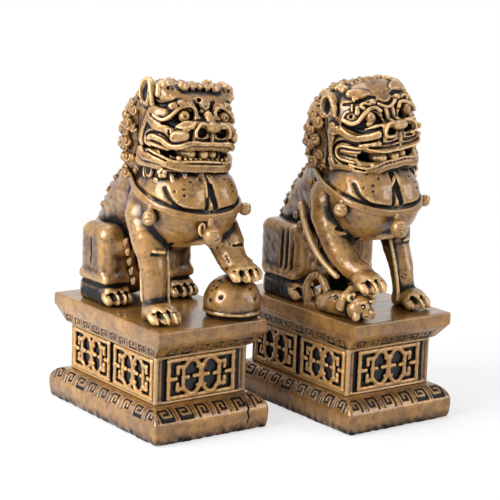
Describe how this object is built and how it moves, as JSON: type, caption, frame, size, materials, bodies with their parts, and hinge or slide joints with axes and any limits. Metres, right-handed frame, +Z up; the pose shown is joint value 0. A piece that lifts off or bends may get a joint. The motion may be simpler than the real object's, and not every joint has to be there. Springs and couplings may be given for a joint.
{
  "type": "pair of guardian lion figurines",
  "caption": "Pair of seated guardian lions on carved pedestals, a forepaw of one on a ball and of the other on a cub, in antique gold.",
  "frame": {"origin": "on the shelf, in the middle of the pair's outline", "axes": "+Z up; both lions face -Y; +X to the lions' left, from the male figurine towards the female one"},
  "size_m": [0.158, 0.1364, 0.1698],
  "materials": {
    "antique_gold": "cast resin, antique gold paint worn over black, clear gloss coat",
    "antique_shade": "the same paint on curled hair, with black left in its hollows, clear gloss coat",
    "patina_ground": "black ground left in the recesses behind the frets, clear gloss coat",
    "felt": "thin self-adhesive felt"
  },
  "bodies": {
    "male": {"male_felt_pad": "felt", "male_plinth": "antique_gold", "male_waist": "patina_ground", "male_fret_panels": "antique_gold", "male_top_slab": "antique_gold", "male_body": "antique_gold", "male_head": "antique_gold", "male_lower_jaw": "antique_gold", "male_tongue": "antique_shade", "male_ears": "antique_gold", "male_eyes": "antique_gold", "male_mane": "antique_shade", "male_beard": "antique_shade", "male_tail": "antique_shade", "male_standing_foreleg": "antique_gold", "male_raised_foreleg": "antique_gold", "male_right_hind_leg": "antique_gold", "male_left_hind_leg": "antique_gold", "male_elbow_locks": "antique_shade", "male_collar": "antique_gold", "male_bells": "antique_gold", "male_ball": "antique_gold"},
    "female": {"female_felt_pad": "felt", "female_plinth": "antique_gold", "female_waist": "patina_ground", "female_fret_panels": "antique_gold", "female_top_slab": "antique_gold", "female_body": "antique_gold", "female_head": "antique_gold", "female_lower_jaw": "antique_gold", "female_tongue": "antique_shade", "female_ears": "antique_gold", "female_eyes": "antique_gold", "female_mane": "antique_shade", "female_beard": "antique_shade", "female_tail": "antique_shade", "female_standing_foreleg": "antique_gold", "female_raised_foreleg": "antique_gold", "female_right_hind_leg": "antique_gold", "female_left_hind_leg": "antique_gold", "female_elbow_locks": "antique_shade", "female_collar": "antique_gold", "female_bells": "antique_gold", "female_cub": "antique_gold"}
  },
  "joints": [
    {"name": "pair_spread", "type": "slide", "parent": "male", "child": "female", "axis": [1, 0, 0], "range_m": [0, 0.12]}
  ]
}
